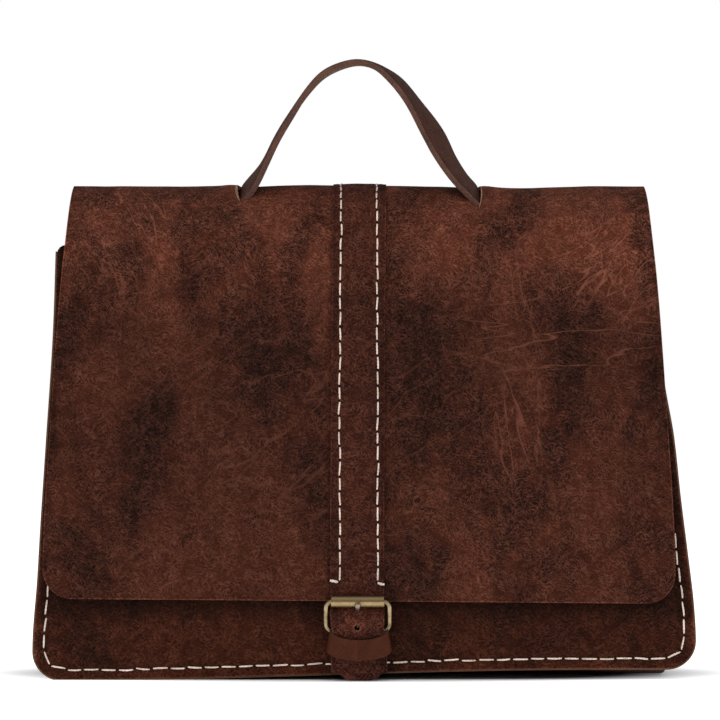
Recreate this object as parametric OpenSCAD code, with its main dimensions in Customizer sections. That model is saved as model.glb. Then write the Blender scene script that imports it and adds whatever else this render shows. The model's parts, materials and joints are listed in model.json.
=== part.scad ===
// A hand-stitched leather satchel with one strap-and-buckle flap and a top handle.
// +X is right as seen from the front, the front faces -Y, +Z is up.
// The origin is on the floor, under the middle of the bag. Millimetres.

/* [Bag body] */
// Half width of the front and back panels at their top edge
panel_half_top = 183.5; // [182:0.5:230]
// How much each side edge spreads per millimetre of height
side_spread = 0.069; // [0.03:0.001:0.08]
// Height of the front panel
panel_h = 265; // [220:1:320]
// Outer depth of the bag at the floor, from front panel face to back panel face
depth_base = 94; // [80:1:120]
// Outer depth of the bag at the top of the front panel
depth_top = 79; // [74:1:80]
// Radius of the panels' bottom corners
panel_corner = 16; // [12:1:24]
// Width of the gusset's sewn flange
flange_w = 7; // [5:1:10]

/* [Leather] */
// Thickness of the panels, the flap and the centre strap
leather_t = 2.4; // [1.8:0.1:3]
// Thickness of the gusset
gusset_t = 2; // [1.5:0.1:2.4]
// Thickness of the folded strap that holds the buckle, one layer
chape_t = 1.8; // [1.4:0.1:1.8]
// Thickness of the keeper loop
keeper_t = 1.5; // [1:0.1:1.5]

/* [Flap] */
// Height of the crown's outer surface above the floor
crest_z = 301.5; // [292:0.5:312]
// Height of the flap's bottom edge above the floor
flap_bottom_z = 48; // [47:0.5:48]
// Half width of the flap at its bottom edge
flap_half_low = 191.5; // [160:0.5:194]
// How much narrower each side of the flap gets per millimetre of height
flap_taper = 0.0535; // [0:0.0005:0.07]
// Radius of the flap's bottom corners
flap_corner = 18; // [8:1:30]
// Play between the flap and the front panel
flap_gap = 1.2; // [1.2:0.1:1.3]

/* [Centre strap] */
// Width of the centre strap
strap_w = 31.6; // [28:0.2:32]
// Thickness of the strap's free end
tail_t = 2.2; // [1.8:0.1:2.2]
// Distance from the strap's middle to each stitch row
strap_row_x = 11; // [8:0.5:13]

/* [Buckle] */
// Sideways place of the buckle
buckle_x = -0.8; // [-0.8:0.1:0]
// Half of the clear width between the frame's arms
buckle_inner_half = 17.2; // [17:0.1:17.6]
// Radius of the frame's rod
rod_r = 1.5; // [1.3:0.1:1.5]
// Outer radius of the roller
roller_r = 3.5; // [3:0.1:3.5]
// Height of the hidden heel bar above the floor
heel_z = 29.8; // [29:0.1:30]
// Height of the roller above the floor
roller_z = 48.2; // [48:0.1:48.6]

/* [Handle] */
// Half of the distance between the two slits
handle_half = 74.4; // [60:0.2:90]
// Height of the handle's middle line above the crest
handle_rise = 77; // [60:1:100]
// Radius of the handle's bend at the top
handle_bend = 34; // [28:1:44]
// Width of the handle strap, front to back
handle_w = 30; // [22:1:30]
// How far the handle's middle sits in front of the bag's middle
handle_front = 10; // [0:1:10]
// Thickness of the handle strap
handle_t = 3; // [2.4:0.2:3.6]

/* [Stitching] */
// Radius of the thread
thread_r = 0.7; // [0.5:0.05:0.7]
// Length of one stitch from hole to hole on the panel seams
seam_pitch = 10.4; // [8:0.2:14]
// Visible length of one seam stitch
seam_stitch = 8.4; // [6:0.2:8.4]
// Distance of the seam from the panel's edge
seam_inset = 6; // [4:0.5:7]
// Length of one stitch from hole to hole on the centre strap
strap_pitch = 9.1; // [8:0.1:12]
// Visible length of one strap stitch
strap_stitch = 7.6; // [5:0.1:7.8]

/* [Hidden] */

// The panels lean in towards the mouth by this much per millimetre of height.
lean = (depth_base - depth_top) / 2 / panel_h;
lean_angle = atan(lean);
side_angle = atan(side_spread);
panel_top_corner = 6;
corner_steps = 8;
sheet_reach = 480;

// The crown is a round arch that runs smoothly into the flap's front and the back panel.
flap_out = flap_gap + leather_t;
crown_r = (depth_base / 2 - lean * crest_z + flap_out / 2) / (1 - lean);
crown_z = crest_z - crown_r;
crown_front_y = -(depth_base / 2 - lean * crown_z + flap_out);
crown_y = crown_front_y + crown_r;
hinge_z = crown_z + 5;
fold_gap = 0.4;

// Sew points are pushed this far out of the leather, so that the thread lies in it by the rest.
thread_lift = 0.15;

// The stack of layers at the buckle, counted outwards from the front panel.
heel_y = -50.6;
roller_y = -55.5;
running_gap = 0.08;
chape_bore_r = rod_r + running_gap;
chape_ring_r = chape_bore_r + chape_t;
keeper_back_y = -47.2;
keeper_front_y = -56.9;
keeper_low_z = 14;
keeper_high_z = 26.8;
keeper_back_top_z = 25;
keeper_half_in = 17.2;
prong_slot_w = 5;
frame_tilt = atan((heel_y - roller_y) / (roller_z - heel_z));
frame_reach = norm([heel_y - roller_y, roller_z - heel_z]);
frame_corner = 2.2;
arm_x = buckle_inner_half + rod_r;
roller_half = arm_x - frame_corner - 0.3;

// The slot in the flap's bottom edge lets the flap swing past the roller.
notch_half = 17;
notch_z = 50.8;
strap_end_z = 51.8;

// Height at which the handle's moving strap begins.
root_z = crest_z + 16;

// ---- shared geometry -----------------------------------------------------------------------

function panel_half(z) = panel_half_top + side_spread * (panel_h - z);
function flap_half(z) = flap_half_low - flap_taper * (z - flap_bottom_z);
function panel_y(z) = depth_base / 2 - lean * z;
function arc(cx, cy, r, a0, a1, n) =
    [for (i = [0 : n]) let (a = a0 + (a1 - a0) * i / n) [cx + r * cos(a), cy + r * sin(a)]];
function mirrored(points) = [for (i = [len(points) - 1 : -1 : 0]) [-points[i][0], points[i][1]]];

// Right half of the bag's outline in X and Z, moved in by a side inset.
function bag_side(inset, low, top, r, top_r) = concat(
    arc(panel_half(low + r) - inset - r, low + r, r, -90, side_angle, corner_steps),
    top_r > 0
        ? arc(panel_half(top) - inset - top_r, top - top_r, top_r, side_angle, 90, 4)
        : [[panel_half(top) - inset, top]]
);
module bag_outline(inset, low, top, r, top_r) {
    side = bag_side(inset, low, top, r, top_r);
    polygon(concat(side, mirrored(side)));
}

// Extrudes a drawing in X and Z through the whole depth.
module through_y(from, to) {
    translate([0, to, 0])
        rotate([90, 0, 0])
            linear_extrude(to - from) children();
}

// Extrudes a drawing in Y and Z to both sides of the middle.
module through_x(half) {
    translate([-half, 0, 0])
        rotate([90, 0, 90])
            linear_extrude(2 * half) children();
}

// A leaning layer in front of the middle, from one distance inside the panel face to another.
module front_layer(inner, outer, low, high) {
    polygon([
        [-(panel_y(low) - inner), low],
        [-(panel_y(high) - inner), high],
        [-(panel_y(high) - outer), high],
        [-(panel_y(low) - outer), low]
    ]);
}

// The flap's section in Y and Z between two distances outside its inner face.
module flap_section(inner, outer, low, back_z) {
    difference() {
        union() {
            translate([crown_y, crown_z]) circle(r = crown_r - leather_t + outer, $fn = 96);
            polygon([
                [crown_y, crown_z],
                [crown_front_y + leather_t - outer, crown_z],
                [-(panel_y(low) + flap_gap + outer), low],
                [crown_y, low]
            ]);
            translate([crown_y, crown_z - 20])
                square([crown_r - leather_t + outer, 20]);
        }
        translate([crown_y, crown_z]) circle(r = crown_r - leather_t + inner, $fn = 96);
        polygon([
            [crown_y, crown_z],
            [crown_front_y + leather_t - inner, crown_z],
            [-(panel_y(low - 1) + flap_gap + inner), low - 1],
            [crown_y, low - 1]
        ]);
        translate([crown_y - 1, low - 1])
            square([crown_r - leather_t + inner + 1, crown_z - low + 1]);
        translate([crown_y - 1, low - 1])
            square([2 * crown_r, back_z - low + 1]);
    }
}

// One stitch: a short thread along local Z, centred on the point.
module stitch(length) {
    translate([0, 0, -length / 2]) cylinder(r = thread_r, h = length, $fn = 16);
}

// ---- body -----------------------------------------------------------------------------------

module front_panel() {
    color("#4a2418")
        intersection() {
            through_y(-60, 0) bag_outline(0, 0, panel_h, panel_corner, panel_top_corner);
            through_x(sheet_reach / 2) front_layer(leather_t, 0, 0, panel_h);
        }
}

module back_panel() {
    color("#4a2418")
        intersection() {
            through_y(0, 60)
                bag_outline(0, 0, hinge_z - fold_gap, panel_corner, panel_top_corner);
            through_x(sheet_reach / 2)
                mirror([1, 0, 0]) front_layer(leather_t, 0, 0, hinge_z - fold_gap);
        }
}

// The U-shaped wall of the gusset, drawn in X and Z. Its base has sagged to the floor.
module gusset_ring() {
    difference() {
        bag_outline(flange_w, 0, panel_h - 4, panel_corner, 0);
        bag_outline(flange_w + gusset_t, gusset_t, panel_h + 1, panel_corner - gusset_t, 0);
    }
}

// The out-turned flange, drawn in X and Z.
module flange_ring() {
    difference() {
        bag_outline(0, 0, panel_h - 4, panel_corner, 0);
        bag_outline(flange_w + gusset_t, flange_w + gusset_t, panel_h + 1, panel_corner, 0);
    }
}

module gusset_strip() {
    inner = leather_t;
    flange_in = leather_t + gusset_t;
    color("#54291b")
        union() {
            intersection() {
                through_y(-60, 60) gusset_ring();
                through_x(sheet_reach / 2)
                    polygon([
                        [-(panel_y(0) - inner), 0],
                        [panel_y(0) - inner, 0],
                        [panel_y(panel_h) - inner, panel_h],
                        [-(panel_y(panel_h) - inner), panel_h]
                    ]);
            }
            for (side = [0, 1])
                mirror([0, side, 0])
                    intersection() {
                        through_y(-60, 0) flange_ring();
                        through_x(sheet_reach / 2) front_layer(flange_in, inner, 0, panel_h);
                    }
        }
}

// Stitch places along the panel seam: down the left side, along the bottom and up the right side.
seam_low = seam_inset;
seam_corner = panel_corner - seam_inset + 4;
seam_top = panel_h - 9;
function seam_side_x(z) = panel_half(z) - seam_inset;
seam_straight_x = seam_side_x(seam_low + seam_corner) - seam_corner;
seam_side_count = floor((seam_top - seam_low - seam_corner) / seam_pitch);
seam_low_count = floor(2 * seam_straight_x / seam_pitch);

// Each stitch is [x, z, angle of the thread from upright].
seam_sides = [
    for (i = [0 : seam_side_count - 1])
        let (z = seam_low + seam_corner + (i + 0.5) * seam_pitch)
            [seam_side_x(z), z, -side_angle]
];
seam_lows = [
    for (i = [0 : seam_low_count - 1])
        [(i - (seam_low_count - 1) / 2) * seam_pitch, seam_low, 90]
];
seam_corners = [
    for (i = [0 : 1])
        let (a = -90 + 45 * (i + 0.5))
            [
                seam_straight_x + seam_corner * cos(a),
                seam_low + seam_corner + seam_corner * sin(a),
                -a
            ]
];

module seam_stitches() {
    for (s = concat(seam_sides, seam_corners))
        for (side = [0, 1])
            mirror([side, 0, 0])
                translate([s[0], -(panel_y(s[1]) + thread_lift), s[1]])
                    rotate([-lean_angle, 0, 0])
                        rotate([0, s[2], 0]) stitch(seam_stitch);
    for (s = seam_lows)
        translate([s[0], -(panel_y(s[1]) + thread_lift), s[1]])
            rotate([0, s[2], 0]) stitch(seam_stitch);
}

module front_seam_stitches() {
    color("#d9c3b4") seam_stitches();
}

module back_seam_stitches() {
    color("#d9c3b4") mirror([0, 1, 0]) seam_stitches();
}

// ---- centre strap at the back ----------------------------------------------------------------

back_strap_low = 12;

module back_strap() {
    color("#4f281b")
        through_x(strap_w / 2)
            mirror([1, 0, 0]) front_layer(0, -leather_t, back_strap_low, hinge_z - fold_gap);
}

back_stitch_count = floor((hinge_z - back_strap_low - 16) / strap_pitch);

module back_strap_stitches() {
    color("#d9c3b4")
        for (i = [0 : back_stitch_count - 1])
            for (x = [-strap_row_x, strap_row_x]) {
                z = back_strap_low + 10 + i * strap_pitch;
                translate([x, panel_y(z) + leather_t + thread_lift, z])
                    rotate([lean_angle, 0, 0]) stitch(strap_stitch);
            }
}

// ---- flap -------------------------------------------------------------------------------------

flap_side = concat(
    arc(
        flap_half(flap_bottom_z + flap_corner) - flap_corner,
        flap_bottom_z + flap_corner,
        flap_corner, -90, side_angle, corner_steps
    ),
    [[flap_half(crest_z + 5), crest_z + 5]]
);

module slit(x) {
    translate([x - handle_t / 2 - 0.3, -handle_front - handle_w / 2 - 1, crown_z + 20])
        cube([handle_t + 0.6, handle_w + 2, 40]);
}

module flap_panel() {
    color("#54291c")
        difference() {
            intersection() {
                through_y(-80, 80) polygon(concat(flap_side, mirrored(flap_side)));
                through_x(sheet_reach / 2)
                    flap_section(0, leather_t, flap_bottom_z, hinge_z);
            }
            slit(-handle_half);
            slit(handle_half);
            translate([buckle_x - notch_half, -80, flap_bottom_z - 1])
                cube([2 * notch_half, 60, notch_z - flap_bottom_z + 1]);
        }
}

module flap_strap() {
    color("#5a2d20")
        through_x(strap_w / 2)
            flap_section(leather_t, 2 * leather_t, strap_end_z, hinge_z);
}

// Stitch places down the flap's front and over its crown, with the thread half sunk in the strap.
strap_face = crown_r + leather_t + thread_lift;
front_count = floor((crown_z - strap_end_z - 10) / strap_pitch);
crown_step = strap_pitch / strap_face * 180 / PI;
crown_count = floor(165 / crown_step);

module flap_strap_stitches() {
    color("#d9c3b4")
        for (x = [-strap_row_x, strap_row_x]) {
            for (i = [0 : front_count - 1]) {
                z = crown_z - (i + 0.5) * strap_pitch;
                translate([x, -(panel_y(z) + flap_gap + 2 * leather_t + thread_lift), z])
                    rotate([-lean_angle, 0, 0]) stitch(strap_stitch);
            }
            for (i = [0 : crown_count - 1])
                translate([x, crown_y, crown_z])
                    rotate([-(i + 0.5) * crown_step, 0, 0])
                        translate([0, -strap_face, 0]) stitch(strap_stitch);
        }
}

// ---- the strap's free end ----------------------------------------------------------------------

// [y of the inner face, z], from the end of the sewn strap down to the tip.
tail_line = [
    [-49.45, strap_end_z], [-49.45, 46], [-50.8, 42], [-53.3, 37], [-54.3, 32], [-54.3, 28],
    [-53.4, 24], [-52.9, 20], [-52.9, 0.6]
];
tail_corner = 11;
tail_tip_z = tail_line[len(tail_line) - 1][1];
hole_r = 2;

module strap_tail() {
    inner = tail_line;
    outer = [for (i = [len(tail_line) - 1 : -1 : 0]) tail_line[i] - [tail_t, 0]];
    half = strap_w / 2;
    color("#552b1e")
        difference() {
            intersection() {
                through_x(half) polygon(concat(inner, outer));
                through_y(-70, -40)
                    polygon(concat(
                        arc(half - tail_corner, tail_tip_z + tail_corner, tail_corner, -90, 0, 6),
                        [[half, 60], [-half, 60]],
                        arc(-half + tail_corner, tail_tip_z + tail_corner, tail_corner, 180, 270, 6)
                    ));
            }
            // the slot that the prong comes through, and a free hole below the buckle
            translate([buckle_x - prong_slot_w / 2, -70, 33])
                cube([prong_slot_w, 40, 10.5]);
            translate([buckle_x, -40, 10]) rotate([90, 0, 0]) cylinder(r = hole_r, h = 30, $fn = 24);
        }
}

// ---- buckle holder -----------------------------------------------------------------------------

chape_half = 16.6;
chape_ring_half = 15.4;
chape_low_z = 2;
chape_foot_z = 5;
chape_neck_z = heel_z - chape_ring_r - 0.5;
chape_outer_y = heel_y - chape_t;

module buckle_chape() {
    color("#432216")
        difference() {
            union() {
                through_x(chape_ring_half) {
                    translate([heel_y, heel_z]) circle(r = chape_ring_r, $fn = 48);
                    translate([chape_outer_y, chape_low_z])
                        square([2 * chape_t, heel_z - chape_low_z]);
                }
                through_x(chape_half) {
                    translate([chape_outer_y, chape_low_z])
                        square([2 * chape_t, chape_neck_z - chape_low_z]);
                    translate([chape_outer_y, chape_low_z])
                        square([-panel_y(chape_low_z) - chape_outer_y, chape_foot_z - chape_low_z]);
                }
            }
            through_x(chape_half + 1)
                translate([heel_y, heel_z]) circle(r = chape_bore_r, $fn = 48);
            translate([buckle_x - prong_slot_w / 2, heel_y - 6, heel_z - chape_ring_r - 1])
                cube([prong_slot_w, 12, 2 * chape_ring_r + 2]);
        }
}

module chape_stitches() {
    color("#d9c3b4")
        for (x = [-11, 11])
            for (z = [11, 19])
                translate([x, chape_outer_y - 0.1, z]) chape_thread();
}

// A short upright stitch whose thread stands only slightly out of the folded strap.
module chape_thread() {
    translate([0, 0, -3]) cylinder(r = 0.35, h = 6, $fn = 16);
}

module keeper_loop() {
    outer_half = keeper_half_in + keeper_t;
    depth = keeper_back_y - keeper_front_y;
    color("#6a3423")
        difference() {
            translate([-outer_half, keeper_front_y - keeper_t, keeper_low_z])
                cube([2 * outer_half, depth + keeper_t, keeper_high_z - keeper_low_z]);
            translate([-keeper_half_in, keeper_front_y, keeper_low_z - 1])
                cube([
                    2 * keeper_half_in, depth - keeper_t + 0.2, keeper_high_z - keeper_low_z + 2
                ]);
            translate([-outer_half - 1, keeper_back_y - keeper_t - 0.5, keeper_back_top_z])
                cube([2 * outer_half + 2, keeper_t + 5, 10]);
        }
}

// ---- buckle ------------------------------------------------------------------------------------

// Places its children in the frame's own plane: the heel bar is at the origin, +Z is up the arms.
module in_buckle() {
    translate([buckle_x, heel_y, heel_z]) rotate([frame_tilt, 0, 0]) children();
}

module bar_along_x(r, half) {
    rotate([0, 90, 0]) translate([0, 0, -half]) cylinder(r = r, h = 2 * half, $fn = 48);
}

module frame_corner_piece() {
    translate([arm_x - frame_corner, 0, frame_corner])
        rotate([90, 0, 0])
            rotate_extrude(angle = 90, start = 270, $fn = 48)
                translate([frame_corner, 0]) circle(r = rod_r, $fn = 24);
}

module frame_half() {
    frame_corner_piece();
    translate([0, 0, frame_reach]) mirror([0, 0, 1]) frame_corner_piece();
    translate([arm_x, 0, frame_corner])
        cylinder(r = rod_r, h = frame_reach - 2 * frame_corner, $fn = 24);
}

module buckle_frame() {
    bar_half = arm_x - frame_corner;
    color("#8a6a3c")
        in_buckle()
            union() {
                frame_half();
                mirror([1, 0, 0]) frame_half();
                bar_along_x(rod_r, bar_half);
                translate([0, 0, frame_reach]) bar_along_x(rod_r, bar_half);
            }
}

module buckle_roller() {
    color("#a58653")
        in_buckle()
            translate([0, 0, frame_reach])
                difference() {
                    bar_along_x(roller_r, roller_half);
                    bar_along_x(rod_r + running_gap, roller_half + 1);
                }
}

prong_r = 1.2;
prong_ring_r = 3.2;
prong_w = 4.2;
prong_bend_y = -55.2;
prong_bend_z = 40.3;
prong_tip_angle = 40;
prong_tip_length = 7.5;

module prong_rod(from, angle, length) {
    translate([buckle_x, from[0], from[1]])
        rotate([angle, 0, 0]) cylinder(r = prong_r, h = length, $fn = 24);
}

module buckle_prong() {
    rise = [heel_y - prong_bend_y, prong_bend_z - heel_z];
    first_angle = atan(rise[0] / rise[1]);
    tip = [
        prong_bend_y - prong_tip_length * sin(prong_tip_angle),
        prong_bend_z + prong_tip_length * cos(prong_tip_angle)
    ];
    color("#8a6a3c")
        difference() {
            union() {
                translate([buckle_x, heel_y, heel_z]) bar_along_x(prong_ring_r, prong_w / 2);
                prong_rod([heel_y, heel_z], first_angle, norm(rise));
                translate([buckle_x, prong_bend_y, prong_bend_z]) sphere(r = prong_r, $fn = 24);
                prong_rod([prong_bend_y, prong_bend_z], prong_tip_angle, prong_tip_length);
                translate([buckle_x, tip[0], tip[1]]) sphere(r = prong_r, $fn = 24);
            }
            translate([buckle_x, heel_y, heel_z]) bar_along_x(rod_r + running_gap, prong_w);
        }
}

// ---- handle ------------------------------------------------------------------------------------

// The legs' slope, so that they run smoothly into the bend at the top.
function leg_miss(a) =
    handle_bend * sin(a) + (handle_rise - handle_bend * (1 - cos(a))) / tan(a) - handle_half;
function leg_angle(low = 35, high = 85, n = 20) =
    let (middle = (low + high) / 2)
        n == 0 ? middle
        : leg_miss(middle) > 0 ? leg_angle(middle, high, n - 1)
        : leg_angle(low, middle, n - 1);
leg = leg_angle();
bend_z = crest_z + handle_rise - handle_bend;
function leg_x(z) = handle_half - (z - crest_z) / tan(leg);

// Extrudes a drawing in X and Z over the handle's width.
module handle_band() {
    through_y(-handle_front - handle_w / 2, -handle_front + handle_w / 2) children();
}

module handle_strap() {
    half = handle_t / 2;
    shift = half / sin(leg);
    color("#5a3022")
        handle_band()
            difference() {
                union() {
                    translate([0, bend_z]) circle(r = handle_bend + half, $fn = 96);
                    polygon([
                        [0, root_z], [leg_x(root_z) + shift, root_z],
                        [
                            (handle_bend + half) * sin(leg),
                            bend_z + (handle_bend + half) * cos(leg)
                        ],
                        [
                            -(handle_bend + half) * sin(leg),
                            bend_z + (handle_bend + half) * cos(leg)
                        ],
                        [-leg_x(root_z) - shift, root_z]
                    ]);
                }
                translate([0, bend_z]) circle(r = handle_bend - half, $fn = 96);
                polygon([
                    [0, root_z - 20],
                    [leg_x(root_z - 20) - shift, root_z - 20],
                    [
                        (handle_bend - half) * sin(leg),
                        bend_z + (handle_bend - half) * cos(leg)
                    ],
                    [
                        -(handle_bend - half) * sin(leg),
                        bend_z + (handle_bend - half) * cos(leg)
                    ],
                    [-leg_x(root_z - 20) + shift, root_z - 20]
                ]);
            }
}

// One end of the handle: down the leg, through the slit, and a tab under the crown.
tab_z = crest_z - 12;
tab_length = 22;
slit_bend_z = crest_z + 4;

module handle_root() {
    half = handle_t / 2;
    shift = half / sin(leg);
    color("#5a3022")
        handle_band()
            polygon([
                [leg_x(root_z - 0.1) - shift, root_z - 0.1],
                [leg_x(root_z - 0.1) + shift, root_z - 0.1],
                [handle_half + half, slit_bend_z],
                [handle_half + half, tab_z],
                [handle_half - half + tab_length, tab_z],
                [handle_half - half + tab_length, tab_z - handle_t],
                [handle_half - half, tab_z - handle_t],
                [handle_half - half, slit_bend_z]
            ]);
}

module handle_root_right() {
    handle_root();
}

module handle_root_left() {
    mirror([1, 0, 0]) handle_root();
}

front_panel();
gusset_strip();
back_panel();
front_seam_stitches();
back_seam_stitches();
flap_panel();
flap_strap();
flap_strap_stitches();
strap_tail();
back_strap();
back_strap_stitches();
buckle_chape();
chape_stitches();
keeper_loop();
buckle_frame();
buckle_roller();
buckle_prong();
handle_strap();
handle_root_left();
handle_root_right();
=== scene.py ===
import json
import math

import bpy
import numpy as np
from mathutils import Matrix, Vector


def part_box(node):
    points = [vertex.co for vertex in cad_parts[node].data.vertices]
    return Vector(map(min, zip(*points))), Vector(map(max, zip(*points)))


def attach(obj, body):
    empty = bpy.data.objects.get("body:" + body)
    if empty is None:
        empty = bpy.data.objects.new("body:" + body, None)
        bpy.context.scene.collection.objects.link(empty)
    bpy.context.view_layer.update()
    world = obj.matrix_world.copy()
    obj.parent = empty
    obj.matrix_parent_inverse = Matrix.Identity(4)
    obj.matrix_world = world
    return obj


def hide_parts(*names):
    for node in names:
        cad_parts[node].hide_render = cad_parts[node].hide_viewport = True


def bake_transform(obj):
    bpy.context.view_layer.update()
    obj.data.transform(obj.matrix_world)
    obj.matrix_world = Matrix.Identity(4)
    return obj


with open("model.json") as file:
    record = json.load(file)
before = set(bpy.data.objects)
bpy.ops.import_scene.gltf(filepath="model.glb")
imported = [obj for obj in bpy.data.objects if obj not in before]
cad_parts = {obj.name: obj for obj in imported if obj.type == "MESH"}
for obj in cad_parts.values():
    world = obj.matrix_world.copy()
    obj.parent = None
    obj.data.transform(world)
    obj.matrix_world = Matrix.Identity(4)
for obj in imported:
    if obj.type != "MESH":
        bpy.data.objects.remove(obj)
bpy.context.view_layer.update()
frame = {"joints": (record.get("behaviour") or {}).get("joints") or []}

# A hand-stitched leather satchel. Shapes are worked out in millimetres and built in metres.
MM = 0.001


def box_mm(node):
    """The lowest and highest corner of a CAD node, in millimetres."""
    return [np.array(corner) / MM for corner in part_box(node)]


# ---- sizes taken from the frame ----

panel_low, panel_high = box_mm("front_panel")
flap_low, flap_high = box_mm("flap_panel")
strap_foot = box_mm("flap_strap")[0][2]
tail_front, tail_foot = box_mm("strap_tail")[0][1:]
joint_at = {j["name"]: np.array(j["pos_m"]) / MM for j in frame["joints"] if "pos_m" in j}

# Thickness of each sheet, the thread's half width and the roller's radius.
LEATHER = 2.4
GUSSET = 2.0
HANDLE = 3.7
TAIL = 2.2
CHAPE = 1.7
KEEPER = 1.5
THREAD = 0.53
ROLLER_RADIUS = 3.4

half_depth = -panel_low[1]
panel_top = panel_high[2]
lean = (half_depth + panel_high[1] - LEATHER) / panel_top
crest = flap_high[2]
flap_foot = flap_low[2]
flap_stand = -flap_low[1] - (half_depth - lean * flap_foot)
crown_r = (half_depth + flap_stand / 2 - lean * crest) / (1 - lean)
crown_z = crest - crown_r
crown_y = crown_r - (half_depth - lean * crown_z + flap_stand)
buckle_x, heel_y, heel_z = joint_at["buckle_lift"]
roller_y, roller_z = joint_at["roller_spin"][1:]


# ---- small mathematics ----

def step(x, low, high):
    """0 below low, 1 above high and a smooth rise between."""
    t = np.clip((x - low) / (high - low), 0, 1)
    return t * t * (3 - 2 * t)


def bump(x, middle, width):
    """1 at the middle, falling off smoothly on both sides."""
    return np.exp(-(((x - middle) / width) ** 2))


def curve(x, xs, ys):
    """A smooth curve through the points (xs, ys), read at x. ys may hold vectors."""
    xs, ys = np.asarray(xs, float), np.asarray(ys, float)
    x = np.clip(x, xs[0], xs[-1])
    i = np.clip(np.searchsorted(xs, x) - 1, 0, len(xs) - 2)
    h = xs[i + 1] - xs[i]
    t = (x - xs[i]) / h
    slope = np.gradient(ys, xs, axis=0)
    if ys.ndim > 1:
        t, h = t[..., None], h[..., None]
    a, b = ys[i], ys[i + 1]
    da, db = slope[i] * h, slope[i + 1] * h
    return (
        a * (1 + 2 * t) * (1 - t) ** 2 + da * t * (1 - t) ** 2
        + b * t * t * (3 - 2 * t) + db * t * t * (t - 1)
    )


def unit(vectors):
    """The vectors, each at length 1."""
    return vectors / np.linalg.norm(vectors, axis=-1, keepdims=True)


def run_length(points):
    """The distance along a line of points, at each of them."""
    steps = np.linalg.norm(np.diff(points, axis=0), axis=1)
    return np.concatenate([[0], np.cumsum(steps)])


def read_line(points, s, places):
    """Points of a line at the given distances along it."""
    return np.stack([np.interp(places, s, points[:, k]) for k in (0, 1)], 1)


def round_rows(radius, count):
    """Rows from 0 to a corner's radius, closer together where the corner is steeper."""
    return radius * (1 - np.cos(np.linspace(0, math.pi / 2, count)))


def half_width(share, v, edge_at):
    """Half width on the side that the share is on. edge_at(v, side) gives the left or right edge."""
    return np.where(share < 0, edge_at(v, -1), edge_at(v, 1))


def depth_at(z):
    """Distance of the panels' outer faces from the middle of the bag at a height."""
    return half_depth - lean * z


def soft_noise(u, v, cell, seed):
    """Smooth noise from -1 to 1 with lumps about `cell` millimetres wide."""
    table = np.random.default_rng(seed).uniform(-1, 1, (97, 97))
    u, v = u / cell + 40.3, v / cell + 41.7
    iu, iv = np.floor(u).astype(int), np.floor(v).astype(int)
    fu, fv = u - iu, v - iv
    fu, fv = fu * fu * (3 - 2 * fu), fv * fv * (3 - 2 * fv)
    corner = lambda a, b: table[(iu + a) % 97, (iv + b) % 97]
    low = corner(0, 0) * (1 - fu) + corner(1, 0) * fu
    high = corner(0, 1) * (1 - fu) + corner(1, 1) * fu
    return low * (1 - fv) + high * fv


class Path:
    """A line in Y and Z that a sheet follows, read by the distance along it."""

    def __init__(self, points):
        points = np.asarray(points, float)
        self.s = run_length(points)
        self.points = points
        tangent = unit(np.gradient(points, self.s, axis=0))
        self.normals = np.stack([-tangent[:, 1], tangent[:, 0]], 1)
        self.length = self.s[-1]

    def at(self, s, lift=0.0):
        """Y and Z at distance s, lifted out of the line on its outer side."""
        y, z = (np.interp(s, self.s, self.points[:, k]) for k in (0, 1))
        ny, nz = (np.interp(s, self.s, self.normals[:, k]) for k in (0, 1))
        return y + lift * ny, z + lift * nz


# ---- mesh building ----

def new_object(name, data):
    obj = bpy.data.objects.new(name, data)
    bpy.context.scene.collection.objects.link(obj)
    return obj


def make_mesh(name, points, faces, cut, tone):
    """A mesh from points in millimetres. cut holds places on the flat leather, tone a shade factor."""
    used = np.unique(faces)
    place = np.full(len(points), -1)
    place[used] = np.arange(len(used))
    mesh = bpy.data.meshes.new(name)
    mesh.from_pydata((points[used] * MM).tolist(), [], place[faces].tolist())
    layer = mesh.attributes.new("cut", "FLOAT_VECTOR", "POINT")
    layer.data.foreach_set("vector", cut[used].astype(np.float32).ravel())
    layer = mesh.attributes.new("tone", "FLOAT", "POINT")
    layer.data.foreach_set("value", tone[used].astype(np.float32))
    mesh.validate()
    return mesh


def grid_faces(rows, columns, closed=False):
    """Faces of a grid of points, counted row by row. A closed grid joins its last column to the first."""
    index = np.arange(rows * columns).reshape(rows, columns)
    if closed:
        index = np.concatenate([index, index[:, :1]], 1)
    quads = [index[:-1, :-1], index[:-1, 1:], index[1:, 1:], index[1:, :-1]]
    return np.stack(quads, -1).reshape(-1, 4)


def tube_faces(rows, sides, closed=False):
    """Faces round a tube, with an end cap at each end, or the last ring joined to the first."""
    faces = (grid_faces(rows + closed, sides, closed=True) % (rows * sides)).tolist()
    if closed:
        return faces
    return faces + [list(range(sides))[::-1], list(range((rows - 1) * sides, rows * sides))]


def solid_object(name, points, faces, *materials, kinds=None):
    """An object from points in millimetres. kinds says which material each face has."""
    mesh = bpy.data.meshes.new(name)
    mesh.from_pydata((points * MM).tolist(), [], faces)
    for material in materials:
        mesh.materials.append(material)
    if kinds is not None:
        mesh.polygons.foreach_set("material_index", kinds)
    mesh.validate()
    mesh.shade_smooth()
    return new_object(name, mesh)


def apply_modifiers(obj):
    """Leaves the object with the mesh that its modifiers make."""
    graph = bpy.context.evaluated_depsgraph_get()
    mesh = bpy.data.meshes.new_from_object(obj.evaluated_get(graph))
    obj.modifiers.clear()
    old, obj.data = obj.data, mesh
    bpy.data.meshes.remove(old)
    mesh.name = obj.name


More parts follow.
